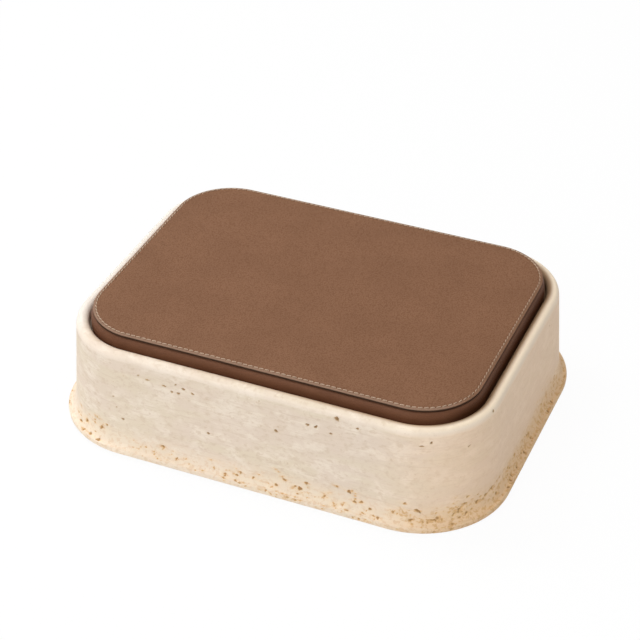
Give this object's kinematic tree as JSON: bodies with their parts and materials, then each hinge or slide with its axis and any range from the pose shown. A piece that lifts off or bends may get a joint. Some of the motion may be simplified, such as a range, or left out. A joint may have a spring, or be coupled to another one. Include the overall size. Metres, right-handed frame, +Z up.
{
  "type": "keepsake box",
  "caption": "Stone box with a coved foot and a lift-off lid covered in stitched leather, for papers and keepsakes.",
  "frame": {"origin": "on the table, under the middle of the box", "axes": "+X along the box's length, +Y across it to the back, +Z up through the lid"},
  "size_m": [0.3138, 0.2414, 0.0842],
  "materials": {
    "travertine": "honed",
    "pad_felt": "matte",
    "grey_board": "matte",
    "store_suede": "matte",
    "core_board": "matte",
    "filler_board": "matte",
    "side_leather": "smooth, half matt",
    "top_leather": "fine grain, half matt",
    "linen_thread": "waxed",
    "lid_suede": "matte"
  },
  "bodies": {
    "box": {"stone_body": "travertine", "base_pad": "pad_felt", "floor_board": "grey_board", "floor_lining": "store_suede", "wall_lining": "store_suede"},
    "lid": {"lid_core": "core_board", "lid_top_filler": "filler_board", "lid_side_leather": "side_leather", "lid_top_leather": "top_leather", "lid_stitching": "linen_thread", "lid_lining": "lid_suede"}
  },
  "joints": [
    {"name": "lid_lift", "type": "slide", "parent": "box", "child": "lid", "axis": [0, 0, 1], "range_m": [0, 0.12]}
  ]
}
